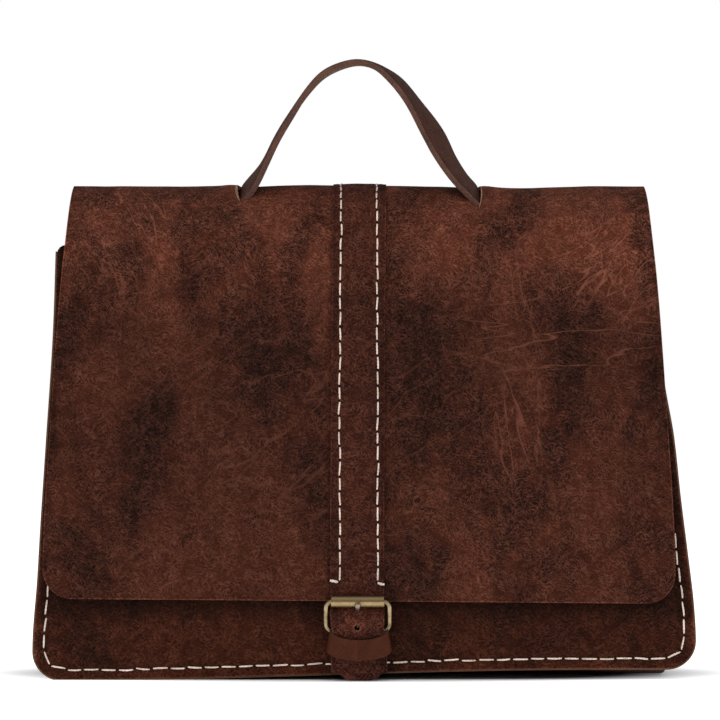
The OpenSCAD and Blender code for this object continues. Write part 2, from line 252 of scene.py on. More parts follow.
def sheet_object(name, points, cut, thickness, materials, tone=None, keep=None, closed=False,
                 bevel=0.45):
    """A leather sheet of real thickness, from a (rows, columns, 3) grid of its outer face. The
    materials are the grain side, the cut edge and the flesh side. Faces not in keep are left out."""
    rows, columns = points.shape[:2]
    faces = grid_faces(rows, columns, closed)
    if keep is not None:
        faces = faces[keep.ravel()]
    flat = np.concatenate([cut, np.zeros((rows, columns, 3 - cut.shape[2]))], 2).reshape(-1, 3)
    shade = np.ones(rows * columns) if tone is None else tone.ravel()
    mesh = make_mesh(name, points.reshape(-1, 3), faces, flat, shade)
    obj = new_object(name, mesh)
    for material in materials:
        mesh.materials.append(material)
    thick = obj.modifiers.new("thickness", "SOLIDIFY")
    thick.thickness = thickness * MM
    thick.offset = -1
    thick.use_even_offset = True
    thick.material_offset_rim = 1
    thick.material_offset = 2
    soft = obj.modifiers.new("soft_edges", "BEVEL")
    soft.limit_method = "ANGLE"
    soft.angle_limit = math.radians(50)
    soft.width = bevel * MM
    soft.segments = 2
    apply_modifiers(obj)
    obj.data.shade_smooth()
    return obj


# ---- materials ----

LEATHER_GLOSS = 0.045


class Nodes:
    """A material and short calls that add nodes to it."""

    def __init__(self, name):
        self.material = bpy.data.materials.new(name)
        self.material.use_nodes = True
        self.tree = self.material.node_tree
        self.shader = self.tree.nodes["Principled BSDF"]

    def put(self, socket, value):
        """Links a socket to another, or sets its value."""
        if isinstance(value, bpy.types.NodeSocket):
            self.tree.links.new(value, socket)
        elif isinstance(value, tuple) and len(value) == 3 and socket.type == "RGBA":
            socket.default_value = (*value, 1)
        else:
            socket.default_value = value

    def add(self, kind, inputs=None, **settings):
        node = self.tree.nodes.new("ShaderNode" + kind)
        for key, value in settings.items():
            setattr(node, key, value)
        for key, value in (inputs or {}).items():
            self.put(node.inputs[key], value)
        return node

    def place(self):
        return self.add("TexCoord").outputs["Object"]

    def attribute(self, name):
        return self.add("Attribute", attribute_name=name)

    def math(self, operation, a, b=0.0):
        return self.add("Math", {0: a, 1: b}, operation=operation).outputs[0]

    def total(self, *terms):
        """The sum of (value, weight) pairs."""
        result = 0.0
        for value, weight in terms:
            node = self.add("Math", {0: value, 1: weight, 2: result}, operation="MULTIPLY_ADD")
            result = node.outputs[0]
        return result

    def scaled(self, vector, scale, turn=0.0, shift=(0.0, 0.0, 0.0)):
        inputs = {"Vector": vector, "Scale": scale, "Rotation": (0.0, 0.0, turn), "Location": shift}
        return self.add("Mapping", inputs).outputs[0]

    def noise(self, vector, scale, detail=2.0, roughness=0.5, warp=0.0):
        inputs = {"Vector": vector, "Scale": scale, "Detail": detail, "Roughness": roughness,
                  "Distortion": warp}
        return self.add("TexNoise", inputs).outputs["Fac"]

    def cell_edges(self, vector, scale):
        inputs = {"Vector": vector, "Scale": scale}
        return self.add("TexVoronoi", inputs, feature="DISTANCE_TO_EDGE").outputs["Distance"]

    def span(self, value, low, high, to_low=0.0, to_high=1.0):
        """The value's range from low to high, turned smoothly into another range."""
        inputs = {"Value": value, "From Min": low, "From Max": high, "To Min": to_low,
                  "To Max": to_high}
        return self.add("MapRange", inputs, interpolation_type="SMOOTHSTEP").outputs[0]

    def mix(self, share, a, b, blend="MIX"):
        node = self.add("Mix", data_type="RGBA", blend_type=blend)
        self.put(node.inputs["Factor"], share)
        self.put(node.inputs[6], a)
        self.put(node.inputs[7], b)
        return node.outputs[2]

    def relief(self, height, distance, strength=1.0):
        inputs = {"Height": height, "Distance": distance * MM, "Strength": strength}
        return self.add("Bump", inputs).outputs["Normal"]

    def finish(self, **values):
        """Sets the shader's own sockets, whose names are given with _ for a space."""
        for key, value in values.items():
            self.put(self.shader.inputs[key.replace("_", " ")], value)
        return self.material


def patch(n, cut, middle, reach):
    """1 in the middle of an oval on the flat-cut leather, falling to 0 at its rim."""
    scale = (1 / reach[0], 1 / reach[1], 0.0)
    shift = (-middle[0] / reach[0], -middle[1] / reach[1], 0.0)
    inputs = {0: n.scaled(cut, scale, shift=shift)}
    length = n.add("VectorMath", inputs, operation="LENGTH").outputs["Value"]
    return n.span(length, 0.25, 1.0, 1.0, 0.0)


def strokes(n, vector, length, width, turn, seed, thin=0.05, detail=1.5):
    """Wandering lines along one direction, as 1 on a line and 0 off it."""
    turned = n.scaled(vector, (1.0, 1.0, 1.0), turn, (seed * 31, seed * 17, 0.0))
    stretched = n.scaled(turned, (1 / length, 1 / width, 1.0))
    off = n.math("SUBTRACT", n.noise(stretched, 1.0, detail, 0.5, 0.4), 0.5)
    return n.span(n.math("ABSOLUTE", off), 0.0, thin, 1.0, 0.0)


def leather(name, dark, middle, light, rough=0.6, grain=0.3, fine_lines=1.0, creases=(), pull=1.0):
    """Waxed full-grain leather. pull is how strongly its clouds of dark wax stand out."""
    n = Nodes(name)
    cut = n.attribute("cut").outputs["Vector"]
    tone = n.attribute("tone").outputs["Fac"]
    drift = n.add("TexNoise", {"Vector": cut, "Scale": 0.05, "Detail": 2.0}).outputs["Color"]
    bent = n.add("VectorMath", {0: drift, 1: (14.0, 14.0, 0.0), 2: cut}, operation="MULTIPLY_ADD")
    bent = bent.outputs[0]
    clouds = n.noise(n.scaled(bent, (0.022, 0.010, 1.0)), 1.0, 3.0, 0.5, 0.5)
    mottle = n.noise(cut, 0.06, 4.0, 0.65, 0.8)
    fine = n.noise(cut, 0.9, 3.0, 0.7, 0.3)
    rising = strokes(n, bent, 3.5, 1.35, 0.75, 1.0, 0.11)
    falling = strokes(n, bent, 3.3, 1.45, -0.8, 2.0, 0.09)
    level = strokes(n, bent, 5.6, 1.9, 0.1, 3.0, 0.06)
    net = n.span(n.cell_edges(bent, 0.55), 0.02, 0.22, 1.0, 0.0)
    rubbed = n.span(n.noise(cut, 0.11, 2.0, 0.6, 0.5), 0.32, 0.62)
    other = n.span(mottle, 0.6, 0.38)
    lines = n.total(
        (n.math("MULTIPLY", rising, rubbed), 0.55), (n.math("MULTIPLY", falling, other), 0.5),
        (level, 0.25), (net, 0.24), (fine, 0.3), (1.0, -0.29),
    )
    folds = 0.0
    for middle_at, reach, length, gap, turn, seed, depth in creases:
        mask = patch(n, cut, middle_at, reach)
        line = strokes(n, cut, length, gap, turn, seed, 0.018, 2.5)
        node = n.add("Math", {0: line, 1: n.math("MULTIPLY", mask, depth), 2: folds},
                     operation="MULTIPLY_ADD")
        folds = node.outputs[0]
    share = n.total((clouds, 1.5 * pull), (mottle, 0.9 * pull), (1.0, 0.5 - 1.2 * pull))
    colour = n.mix(n.span(share, 0.2, 0.8), dark, middle)
    glaze = n.span(share, 0.1, 0.9, 0.55, 1.15)
    colour = n.mix(n.math("MULTIPLY", n.math("MULTIPLY", lines, glaze), fine_lines), colour, light)
    if creases:
        colour = n.mix(n.math("MULTIPLY", folds, 0.85), colour, light)
    colour = n.mix(1.0, colour, n.add("CombineColor", {0: tone, 1: tone, 2: tone}).outputs[0],
                   "MULTIPLY")
    height = n.total((lines, 1.0), (fine, 0.5), (mottle, 1.2), (folds, 1.5))
    sheen = n.total((clouds, 0.12), (lines, -0.10), (mottle, 0.10))
    return n.finish(
        Base_Color=colour,
        Roughness=n.math("ADD", sheen, rough - 0.08),
        Specular_IOR_Level=LEATHER_GLOSS,
        Normal=n.relief(height, grain),
    )


def cut_edge(name, light, dark):
    """The raw side of cut leather: fibres in layers, waxed dark in places."""
    n = Nodes(name)
    place = n.place()
    layers = n.noise(place, 900.0, 3.0, 0.6)
    patches = n.noise(place, 60.0, 2.0, 0.5)
    share = n.total((layers, 0.7), (patches, 0.7))
    colour = n.mix(n.span(share, 0.45, 0.95), dark, light)
    return n.finish(Base_Color=colour, Roughness=0.85, Normal=n.relief(layers, 0.3))


def flesh(name):
    """The suede inner side of the hide."""
    n = Nodes(name)
    cut = n.attribute("cut").outputs["Vector"]
    nap = n.noise(cut, 1.3, 5.0, 0.7, 1.0)
    cloud = n.noise(cut, 0.05, 3.0, 0.6)
    share = n.total((nap, 0.8), (cloud, 0.6))
    colour = n.mix(n.span(share, 0.4, 1.0), (0.075, 0.034, 0.02), (0.17, 0.09, 0.055))
    return n.finish(Base_Color=colour, Roughness=0.95, Specular_IOR_Level=0.2,
                    Normal=n.relief(nap, 0.5))


def waxed_thread(name):
    """Pale twisted thread, grey with dirt in places."""
    n = Nodes(name)
    place = n.place()
    fibre = n.noise(place, 2600.0, 2.0, 0.6)
    dirt = n.noise(place, 120.0, 3.0, 0.6)
    share = n.total((fibre, 0.6), (dirt, 0.7))
    colour = n.mix(n.span(share, 0.4, 0.85), (0.48, 0.35, 0.27), (0.90, 0.74, 0.63))
    return n.finish(Base_Color=colour, Roughness=0.7, Normal=n.relief(fibre, 0.2))


def needle_hole(name):
    """The inside of a hole made by the needle, painted near black as the hole's shade."""
    n = Nodes(name)
    place = n.place()
    hole_shade_mottle = n.noise(place, 700.0, 2.0)
    # Painted shade: two near-black colours stand in for the unlit inside of the hole.
    colour = n.mix(hole_shade_mottle, (0.004, 0.002, 0.0015), (0.012, 0.005, 0.003))
    return n.finish(Base_Color=colour, Roughness=0.9, Specular_IOR_Level=0.1)


def old_brass(name, clean, worn, rough, painted_top_reflection=False):
    """Antique brass: bright where it is rubbed, brown where the finish has stayed. The last argument
    sets a painted reflection: the roller's upper half is darkened, as the dark studio above would show in
    it."""
    n = Nodes(name)
    place = n.place()
    patina = n.noise(place, 180.0, 5.0, 0.65, 0.5)
    brushed = n.noise(n.scaled(place, (60.0, 1500.0, 1500.0)), 1.0, 2.0, 0.5)
    share = n.total((patina, 0.8), (brushed, 0.3))
    colour = n.mix(n.span(share, 0.38, 0.72), worn, clean)
    # Painted reflection: the upper half of the roller is darkened to stand for the dark studio it would
    # mirror.
    if painted_top_reflection:
        height = n.add("SeparateXYZ", {0: place}).outputs["Z"]
        above = n.span(height, (roller_z - 0.25) * MM, (roller_z + 0.15) * MM)
        colour = n.mix(above, colour, tuple(0.62 * c for c in worn))
    roughness = n.total((patina, -0.12), (brushed, 0.1), (1.0, rough))
    return n.finish(Base_Color=colour, Metallic=1.0, Roughness=roughness,
                    Normal=n.relief(brushed, 0.02))


edge_tan = cut_edge("edge_tan", (0.30, 0.17, 0.11), (0.10, 0.045, 0.028))
edge_brown = cut_edge("edge_brown", (0.112, 0.043, 0.024), (0.038, 0.0130, 0.0070))
slit_tan = cut_edge("slit_tan", (0.46, 0.25, 0.15), (0.17, 0.08, 0.045))
edge_dark = cut_edge("edge_dark", (0.10, 0.048, 0.030), (0.03, 0.012, 0.008))
suede = flesh("suede")
thread = waxed_thread("thread")
hole_painted_shade = needle_hole("hole_painted_shade")

# Each crease group: middle and reach of its oval, length, gap, direction, seed and depth.
FLAP_CREASES = (
    ((125, 160), (95, 40), 90, 16, 0.03, 3.1, 1.0),
    ((95, 130), (26, 110), 80, 14, 1.42, 7.7, 0.8),
    ((150, 200), (44, 55), 50, 12, -0.75, 5.3, 0.9),
    ((-140, 235), (34, 66), 60, 11, 1.25, 9.2, 0.9),
    ((-40, 110), (150, 100), 60, 22, -0.6, 2.4, 0.4),
)
PANEL_CREASES = (
    ((120, 12), (70, 30), 40, 9, -0.5, 4.1, 0.8),
    ((-110, 12), (90, 30), 30, 9, 0.6, 6.6, 0.5),
)

flap_leather = leather("flap_leather", (0.0066, 0.0016, 0.0009), (0.0390, 0.0092, 0.0044),
                       (0.136, 0.0460, 0.0275), fine_lines=0.82, pull=1.25, creases=FLAP_CREASES)
panel_leather = leather("panel_leather", (0.0054, 0.0013, 0.0007), (0.0262, 0.0054, 0.0022),
                        (0.094, 0.0280, 0.0140), creases=PANEL_CREASES)
strap_leather = leather("strap_leather", (0.0084, 0.0021, 0.0013), (0.0336, 0.0075, 0.0037),
                        (0.132, 0.0430, 0.0260))
gusset_leather = leather("gusset_leather", (0.0135, 0.0034, 0.0019), (0.0300, 0.0070, 0.0035),
                         (0.085, 0.0290, 0.0170))
keeper_leather = leather("keeper_leather", (0.038, 0.0100, 0.0048), (0.064, 0.0180, 0.0090),
                         (0.098, 0.0320, 0.0180), grain=0.15, fine_lines=0.5, pull=1.0)
handle_leather = leather("handle_leather", (0.034, 0.0130, 0.0086), (0.070, 0.0272, 0.0180),
                         (0.105, 0.0460, 0.0335), rough=0.5, grain=0.2, fine_lines=0.6)


# ---- the flap, the crown and the back: one sheet ----

def outer_face_line():
    """The sheet's outer face in Y and Z: up the front, over the crown and down the back."""
    z = np.linspace(flap_foot, crown_z, 200)
    front = np.stack([-(depth_at(z) + flap_stand), z], 1)
    a = np.linspace(math.pi, 0, 160)[1:]
    over = np.stack([crown_y + crown_r * np.cos(a), crown_z + crown_r * np.sin(a)], 1)
    z = np.linspace(crown_z, 0.4, 200)[1:]
    back = np.stack([depth_at(z), z], 1)
    return Path(np.concatenate([front, over, back]))


cover = outer_face_line()
front_run = np.interp(crown_z, cover.points[:200, 1], cover.s[:200])
crest_run = front_run + math.pi / 2 * crown_r
back_run = front_run + math.pi * crown_r
FLAP_CORNER = 18.0
BACK_CORNER = 16.0
SLIT_X = 72.6
SLIT_HALF = 2.5
SLIT_COLUMN = 31


def panel_half(z):
    """Half width of the back panel at a height."""
    return 183.5 + 0.069 * (panel_top - z)


def rounded(half, distance, radius):
    """A half width drawn in near a rounded end that is `distance` away."""
    d = np.clip(distance, 0, radius)
    return half - radius + np.sqrt(radius ** 2 - (radius - d) ** 2)


def cover_half(s):
    """Half width of the sheet, from the flap's edge over the crown to the back panel's edge."""
    runs = [0, 25, 122, front_run - 10, front_run + 10, crest_run, back_run - 28, back_run - 2]
    halves = [191.7, 191.5, 186.3, 180.3, 178.2, 176.2, 177.5, 183.4]
    half = curve(s, runs, halves)
    down = cover.length - s
    half = np.where(s > back_run - 2, panel_half(np.minimum(down, crown_z)), half)
    half = rounded(half, s, FLAP_CORNER)
    return rounded(half, down, BACK_CORNER)


def cover_relief(x, s):
    """How far the leather stands out of its line: soft waves, a dip along the crest, slit pull."""
    waves = 0.55 * soft_noise(x, s, 70, 11) + 0.3 * soft_noise(x, s, 26, 12)
    waves = waves + 0.10 * soft_noise(x, s, 9, 13)
    on_back = step(s, back_run - 30, back_run + 10)
    waves = waves * (1 - 0.75 * on_back) + 0.25 * on_back
    crown = bump(s, crest_run, 26)
    waves = waves + crown * (0.7 * bump(x, 0, 55) - 0.9 * bump(x, 105, 26) - 0.3 * bump(x, -120, 30))
    for side in (-1, 1):
        outer = bump(x, side * (SLIT_X + 5.5), 6) * bump(s, crest_run - 10, 20)
        inner = bump(x, side * (SLIT_X - 9), 9) * bump(s, crest_run - 16, 22)
        waves = waves + 0.9 * outer - 0.7 * inner
    foot = step(s, 0, 30)
    lift = 0.9 * (1 - foot) * soft_noise(x, s * 0, 85, 14)
    return waves * (0.3 + 0.7 * foot) + lift + 1.1 * (1 - step(s, 0, 26))


def cover_point(x, s, lift=0.0):
    """A point of the outer face at a sideways place and a distance along the sheet."""
    tilt = 0.008 * x * (1 - step(s, 0, front_run))
    y, z = cover.at(s, cover_relief(x, s) + lift)
    return np.stack([x, y, z - tilt], -1)


def cover_rows():
    """Distances along the sheet, close together at its rounded ends."""
    near = round_rows(FLAP_CORNER, 13)
    far = cover.length - round_rows(BACK_CORNER, 12)[::-1]
    middle = np.linspace(near[-1], far[0], 232)
    return np.concatenate([near, middle[1:-1], far])


def cover_columns():
    """Shares of the half width, with a narrow column where each handle slit is cut."""
    half = float(cover_half(np.array([crest_run]))[0])
    inner = np.linspace(0, SLIT_X - SLIT_HALF, SLIT_COLUMN)
    outer = np.linspace(SLIT_X + SLIT_HALF, half, 43)
    right = np.sort(np.concatenate([inner, outer, [half - 0.8]]) / half)
    return np.concatenate([-right[:0:-1], right])


# Where each handle slit starts and ends in Y.
SLITS = {-1: (-29.0, 6.5), 1: (-34.5, 6.0)}


def slit_ends(side):
    """Where a handle slit starts and ends, as distances along the sheet."""
    return [front_run + crown_r * (math.pi - math.acos((y - crown_y) / crown_r)) for y in SLITS[side]]


def slit_share(side, s):
    """-1 to 1 along a handle slit, for a distance along the sheet."""
    s0, s1 = slit_ends(side)
    return (2 * s - s0 - s1) / (s1 - s0)


def cover_tone(x, s):
    """Darker and lighter places on the flap: light where it is rubbed, painted sheen over the crown and
    back, painted shadow of the handle by its slits.
    """
    # Painted sheen: lighter from the flap's upper front onwards, over the crown and down the back, as
    # light from above would make it.
    tone = 1.0 + 0.9 * step(s, front_run - 60, front_run + 15)
    tone += 0.10 * (1 - step(s, 0, 90))
    tone += 0.16 * bump(x, -158, 10) * bump(s, 236, 26)
    tone -= 0.18 * bump(x, -135, 14) * bump(s, 225, 55)
    tone -= 0.10 * bump(x, -95, 40) * bump(s, 95, 50)
    tone += 0.42 * bump(x, 95, 60) * bump(s, 60, 60)
    tone -= 0.10 * bump(x, 60, 26) * bump(s, 190, 60)
    tone += 0.75 * bump(x, 172, 11) * bump(s, crest_run - 38, 42)
    # Painted shadow of the handle on the leather just inside each slit.
    for side in (-1, 1):
        tone -= 0.35 * bump(x, side * (SLIT_X - 9), 11) * bump(s, crest_run - 14, 12)
    rim = np.minimum(cover_half(s) - np.abs(x), np.minimum(s, cover.length - s))
    return tone * (0.80 + 0.20 * step(rim, 0.8, 2.8) + 1.5 * (1 - step(rim, 0.1, 0.8)))


def build_cover():
    """The sheet with its two handle slits. A slit opens by moving the columns on its two sides."""
    s = cover_rows()
    share = cover_columns()
    half = cover_half(s)
    x = share[None, :] * half[:, None]
    run = np.repeat(s[:, None], len(share), 1)
    keep = np.ones((len(s) - 1, len(share) - 1), bool)
    middle = (len(share) - 1) // 2
    for side in (-1, 1):
        inner, outer = middle + side * (SLIT_COLUMN - 1), middle + side * SLIT_COLUMN
        along = slit_share(side, s)
        open_rows = np.abs(along) < 1
        width = SLIT_HALF * (1 - np.clip(np.abs(along), 0, 1) ** 3)
        centre = (x[:, inner] + x[:, outer]) / 2
        x[:, inner] = np.where(open_rows, centre - side * width, x[:, inner])
        x[:, outer] = np.where(open_rows, centre + side * width, x[:, outer])
        cells = open_rows[:-1] & open_rows[1:]
        keep[cells, min(inner, outer)] = False
    points = cover_point(x, run)
    cut = np.stack([x, run], -1)
    obj = sheet_object("flap_and_back", points, cut, LEATHER, (flap_leather, edge_tan, suede),
                       cover_tone(x, run), keep)
    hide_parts("flap_panel", "back_panel")
    return obj


# ---- baking each layer's placement into its mesh ----


def bend_at_hinge(obj):
    """Bakes a layer's placement into its mesh."""
    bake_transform(obj)


# ---- front panel ----

PANEL_CORNER = 17.0
PANEL_TOP_CORNER = 5.0
SEAM_IN = 6.0


def panel_side(z, side):
    """Distance of the front panel's left (-1) or right (1) edge from the middle."""
    if side < 0:
        return curve(z, [0, 27, 58, 93, 139, 212, 264], [197.4, 197, 194.6, 192.6, 189.7, 185.2, 183.6])
    marks = [0, 25, 39, 71, 106, 146, 177, 212, 264]
    return curve(z, marks, [203.6, 203.3, 202.4, 198.8, 194.6, 190.3, 185.0, 181.5, 177.5])


def panel_foot(x):
    """The front panel's bottom edge rises towards the right."""
    return 0.2 + 6.8 * step(x, -190, 140)


def panel_rim(x, z):
    """Distance to the front panel's nearest side or to its foot."""
    return np.minimum(half_width(x, z, panel_side) - np.abs(x), z - panel_foot(x))


def panel_relief(x, z):
    """The panel is drawn back along its sewn edge and stands out a little above it."""
    edge = panel_rim(x, z)
    drawn = -1.0 * (1 - step(edge, 0, 16))
    groove = -0.35 * bump(edge, SEAM_IN, 1.8)
    belly = 1.3 * bump(z, 24, 13) * (1 - step(np.abs(x), 150, 190))
    waves = 0.35 * soft_noise(x, z, 45, 21) + 0.16 * soft_noise(x, z, 14, 22)
    return drawn + groove + belly + waves * step(edge, 2, 20) * (1 - 0.7 * step(z, 44, 52))


def panel_point(x, z):
    """A point of the front panel's outer face."""
    return np.stack([x, -(depth_at(z) + panel_relief(x, z)), z], -1)


def panel_grid():
    """x and z of the panel's grid, with close rows at its rounded corners."""
    near = round_rows(PANEL_CORNER, 13)
    top = panel_top - 1
    far = top - round_rows(PANEL_TOP_CORNER, 5)[::-1]
    rise = np.concatenate([near, np.linspace(near[-1], far[0], 98)[1:-1], far])
    share = np.linspace(-1, 1, 161)
    rise, share = np.meshgrid(rise, share, indexing="ij")
    half = rounded(half_width(share, rise, panel_side), rise, PANEL_CORNER)
    half = rounded(half, top - rise, PANEL_TOP_CORNER)
    x = share * half
    foot = panel_foot(x)
    z = foot + rise * (top - foot) / top
    return x, z


def build_front_panel():
    """The front panel, its rim darker at the seam and its top darkened under the flap as painted shadow.
    """
    x, z = panel_grid()
    edge = panel_rim(x, z)
    tone = 1.0 + 0.25 * (1 - step(edge, 3.5, 6)) - 0.18 * bump(edge, SEAM_IN, 2.0)
    tone += 1.6 * (1 - step(edge, 0.1, 0.8))
    tone *= 1 + 0.08 * soft_noise(x, z, 30, 23)
    # Painted shadow of the flap: the panel darkens towards the flap's foot and stays dark beneath it.
    tone *= 1 - 0.55 * step(z, flap_foot - 17, flap_foot - 2)
    obj = sheet_object("front_panel_leather", panel_point(x, z), np.stack([x, z], -1), LEATHER,
                       (panel_leather, edge_tan, suede), tone)
    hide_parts("front_panel")
    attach(obj, "bag")


# ---- outlines of the two sewn edges ----

def outline(front, count=400):
    """Points along a panel's edge in X and Z: down the left side, along the foot, up the right."""
    radius = PANEL_CORNER if front else BACK_CORNER
    top = panel_top - 5
    side_at = panel_side if front else (lambda z, _: panel_half(z))
    foot_at = panel_foot if front else (lambda x: 0.4 + 0 * x)
    heights = np.linspace(top, radius, 60)
    turns = np.linspace(0, math.pi / 2, 16)[1:]
    down = [(-float(side_at(np.array(z), -1)), z) for z in heights]
    up = [(float(side_at(np.array(z), 1)), z) for z in heights[::-1]]
    left, right = down[-1][0] + radius, up[0][0] - radius
    corner = [(left - radius * math.cos(a), radius - radius * math.sin(a)) for a in turns]
    other = [(right + radius * math.sin(a), radius - radius * math.cos(a)) for a in turns]
    along = [(x, 0.0) for x in np.linspace(left, right, 120)[1:-1]]
    points = np.array(down + corner + along + other + up)
    points[:, 1] += foot_at(points[:, 0]) * (1 - points[:, 1] / panel_top)
    s = run_length(points)
    return read_line(points, s, np.linspace(0, s[-1], count))


def inward(points):
    """The unit direction into the panel at each point of an outline."""
    tangent = unit(np.gradient(points, axis=0))
    return np.stack([-tangent[:, 1], tangent[:, 0]], 1)


# ---- gusset ----

FLANGE = 8.0
TURN = 3.0
SEAM_GAP = 0.1
SIDE_FOLD = 7.0
BASE_ABOVE_FLOOR = 0.25


def build_gusset():
    """One long strip: its edges are turned out and sewn to the panels, its base sags to the floor."""
    front, back = outline(True, 420), outline(False, 420)
    n_front, n_back = inward(front), inward(back)
    turn = np.linspace(0, math.pi / 2, 5)[1:]
    across = np.concatenate([np.linspace(-1.0, FLANGE, 6), FLANGE + TURN * np.sin(turn)])
    depth_in = np.concatenate([np.zeros(6), TURN * (1 - np.cos(turn))])
    inset_by = LEATHER + SEAM_GAP
    rows = []
    for inset, deep in zip(across, depth_in):
        x, z = (front + n_front * inset).T
        y = -(depth_at(z) - inset_by) + deep + 1.0 * (1 - step(inset, 0, 14))
        rows.append(np.stack([x, y, z], 1))
    y_front = rows[-1][:, 1]
    starts = front + n_front * (FLANGE + TURN)
    ends = back + n_back * (FLANGE + TURN)
    y_back = depth_at(ends[:, 1]) - inset_by - TURN
    downward = np.clip(n_front[:, 1], 0, 1) ** 3
    side_fold = (1 - downward) * SIDE_FOLD * (front[:, 1] / panel_top)
    for t in np.linspace(0, 1, 24)[1:-1]:
        base = starts * (1 - t) + ends * t
        sag = math.sin(math.pi * t) ** 0.35
        fall = sag * downward * (base[:, 1] - BASE_ABOVE_FLOOR)
        fold = side_fold * bump(t, 0.5, 0.22) - 1.5 * math.sin(math.pi * t) * (1 - downward)
        x, z = (base + (n_front * (1 - t) + n_back * t) * fold[:, None]).T
        rows.append(np.stack([x, y_front * (1 - t) + y_back * t, z - fall], 1))
    for inset, deep in zip(across[::-1], depth_in[::-1]):
        x, z = (back + n_back * inset).T
        rows.append(np.stack([x, depth_at(z) - inset_by - deep, z], 1))
    points = np.stack(rows, 1)
    along = run_length(front)
    wide = run_length(points[len(front) // 2])
    cut = np.stack(np.meshgrid(along, wide, indexing="ij"), -1)
    waves = 0.5 * soft_noise(cut[..., 0], cut[..., 1], 28, 31)
    column = np.arange(len(rows))
    inside = step(column, 9, 13) * (1 - step(column, 21, 26))
    points[..., 0] += waves * inside * np.sign(points[..., 0]) * (1 - downward[:, None])
    tone = 0.95 + 0.1 * soft_noise(cut[..., 0], cut[..., 1], 40, 32)
    obj = sheet_object("gusset", points, cut, GUSSET, (gusset_leather, edge_tan, suede), tone)
    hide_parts("gusset_strip")
    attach(obj, "bag")


# ---- the centre strap, from its tip to the back ----

STRAP_OVER = LEATHER
STRAP_GAP = 0.1
# The strap's tail: its distance behind the front of the CAD tail, and its height.
TAIL_LINE = (
    (1.4, tail_foot - 0.2), (1.7, 20), (1.8, 23.4), (0.5, 26.2), (-0.3, 29), (-0.4, 33),
    (-0.4, 36), (-0.3, 39.5), (0.8, 42.6), (3.1, 45.2), (4.6, 48), (4.9, 50.5),
)


def strap_line():
    """The strap's outer face: its tip, the hump over the heel bar, then over the flap."""
    lift = STRAP_OVER + STRAP_GAP
    spots = [(tail_front + behind, z) for behind, z in TAIL_LINE]
    spots = np.array(spots + [cover.at(strap_foot - flap_foot + 6.0, lift)])
    s = run_length(spots)
    tail = curve(np.linspace(0, s[-1], 160), s, spots)
    rest = np.linspace(strap_foot - flap_foot + 7.0, cover.length - 12.0, 700)
    return Path(np.concatenate([tail, np.stack(cover.at(rest, lift), 1)]))


strap = strap_line()


def strap_run(z):
    """Distance along the strap at a height on the bag's front."""
    return float(np.interp(z, strap.points[:260, 1], strap.s[:260]))


strap_join = strap_run(57.0)
STRAP_ROW = 11.3
TIP_CORNER = 10.5
HOLES = ((buckle_x, 43.4, 1.8), (buckle_x - 0.4, 32.4, 1.6))


def strap_edge(s, side):
    """Distance of the strap's left (-1) or right (1) edge from the middle."""
    marks = [0, 12, 26, 36, strap_join, 230, strap_join + crest_run, strap.length]
    if side < 0:
        half = curve(s, marks, [13.9, 14.0, 15.4, 17.1, 17.3, 16.4, 15.8, 15.8])
    else:
        half = curve(s, marks, [15.8, 15.7, 14.7, 15.2, 15.2, 15.9, 16.9, 15.9])
    return rounded(half, s, TIP_CORNER)


def strap_relief(x, s):
    """Soft waves, the rows of thread drawn in, and the flap's own waves under the strap."""
    under = cover_relief(x, np.maximum(s - strap_join + 9.0, 0)) * step(s, strap_join - 4, strap_join + 12)
    rows = -0.3 * (bump(x, -STRAP_ROW, 1.6) + bump(x, STRAP_ROW, 1.6))
    rows = rows * step(s, strap_join, strap_join + 8)
    crown = 0.25 * bump(x, 0, 9) - 1.6 * bump(s, strap_join + crest_run, 30)
    waves = 0.18 * soft_noise(x, s, 16, 41) + 0.08 * soft_noise(x, s, 6, 42)
    edge = -0.35 * step(np.abs(x), 12.5, 16)
    return under + rows + crown + waves + edge


def strap_point(x, s, lift=0.0):
    """A point of the strap's outer face."""
    y, z = strap.at(s, strap_relief(x, s) + lift)
    return np.stack([x, y, z], -1)


def punch(x, s, keep, centre_x, centre_s, radius):
    """Opens a round hole in a grid: faces inside it go and the vertices round it move to its rim."""
    dx, ds = x - centre_x, s - centre_s
    r = np.hypot(dx, ds)
    mid = lambda a: (a[:-1, :-1] + a[1:, :-1] + a[:-1, 1:] + a[1:, 1:]) / 4
    inside = np.hypot(mid(dx), mid(ds)) < radius * 0.93
    keep &= ~inside
    near = r < radius * 1.35
    push = np.where(near, np.maximum(radius / np.maximum(r, 1e-6), 1.0), 1.0)
    blend = 1 - step(r, radius * 1.1, radius * 1.35)
    factor = 1 + (push - 1) * np.where(r < radius, 1, blend)
    return centre_x + dx * factor, centre_s + ds * factor


